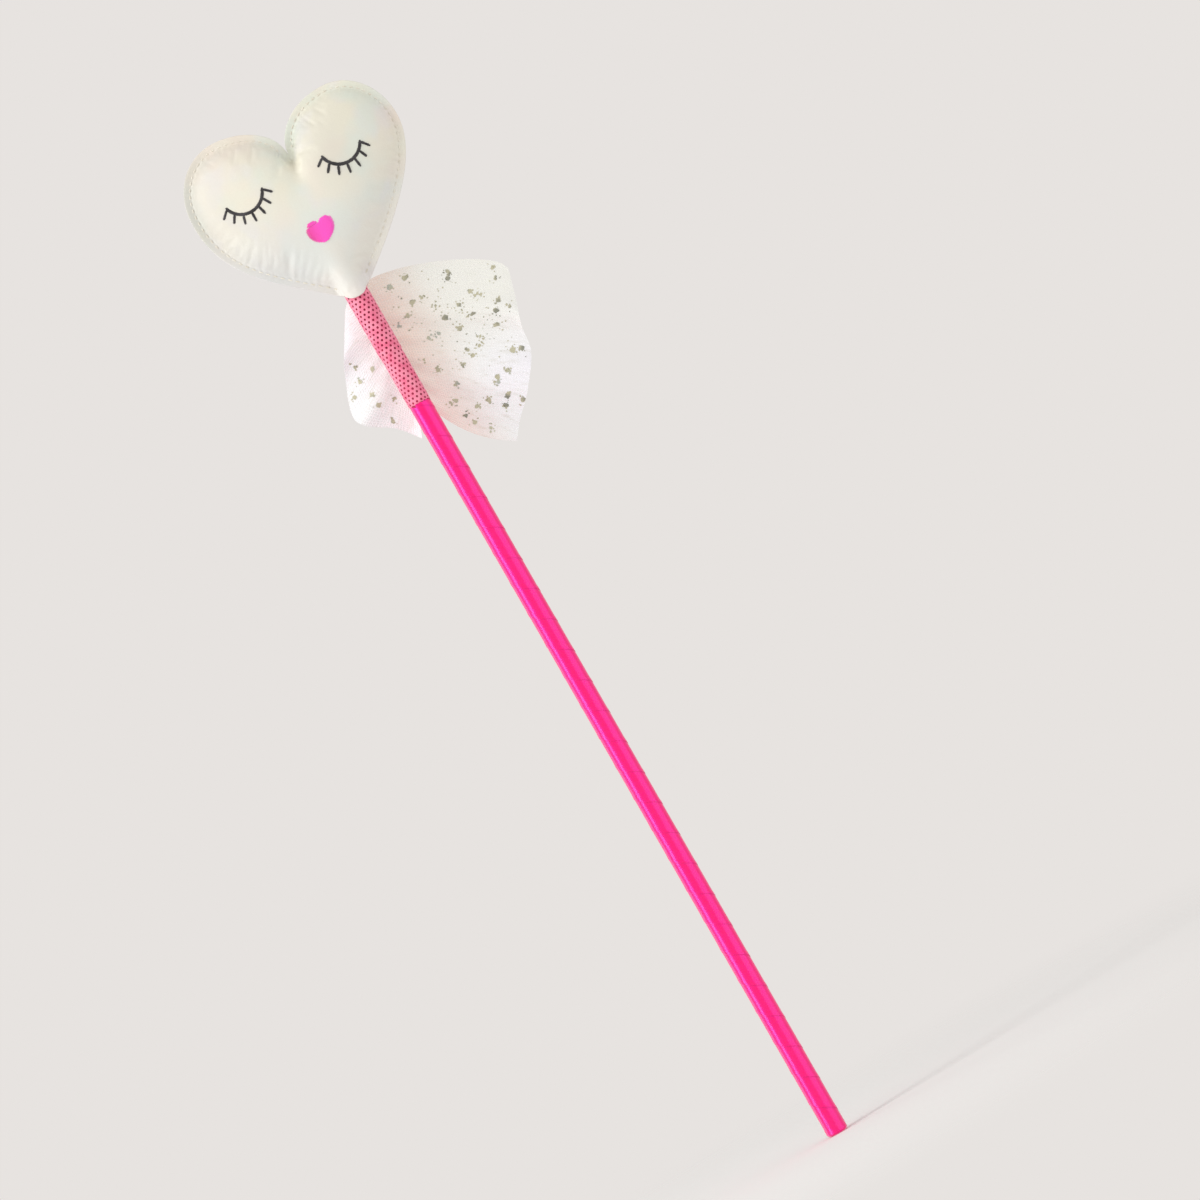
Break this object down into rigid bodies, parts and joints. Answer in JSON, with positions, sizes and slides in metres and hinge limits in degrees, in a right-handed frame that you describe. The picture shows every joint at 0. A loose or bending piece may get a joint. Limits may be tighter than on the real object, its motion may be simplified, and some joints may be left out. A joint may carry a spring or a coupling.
{
  "type": "toy magic wand",
  "caption": "Toy wand: padded pearl heart with an embroidered sleepy face on a stick wound with pink satin ribbon, with a sheer tulle bow behind the netted neck.",
  "frame": {"origin": "middle of the flat free end of the stick, on the stick's axis", "axes": "+Z along the stick from the free end up to the heart, -Y the way the face looks, +X to the right in front view"},
  "size_m": [0.0718, 0.0178, 0.3328],
  "materials": {
    "wood": "sanded bare wood",
    "satin_ribbon": "glossy satin",
    "neck_net": "fine white net wrapped over pink ribbon",
    "hot_glue": "clear set glue",
    "tulle": "sheer net with foil flecks",
    "pearl_fabric": "pearly leatherette",
    "fibre_fill": "loose fibre",
    "cream_thread": "sewing thread",
    "black_thread": "satin stitch",
    "pink_thread": "satin stitch"
  },
  "bodies": {
    "root": {"dowel": "wood", "shaft_ribbon": "satin_ribbon", "end_fold": "satin_ribbon", "neck_net": "neck_net", "neck_glue": "hot_glue", "tulle_bow": "tulle", "heart_front": "pearl_fabric", "heart_back": "pearl_fabric", "heart_stuffing": "fibre_fill", "heart_glue": "hot_glue", "seam_thread": "cream_thread", "left_eye": "black_thread", "right_eye": "black_thread", "mouth": "pink_thread"}
  },
  "joints": []
}
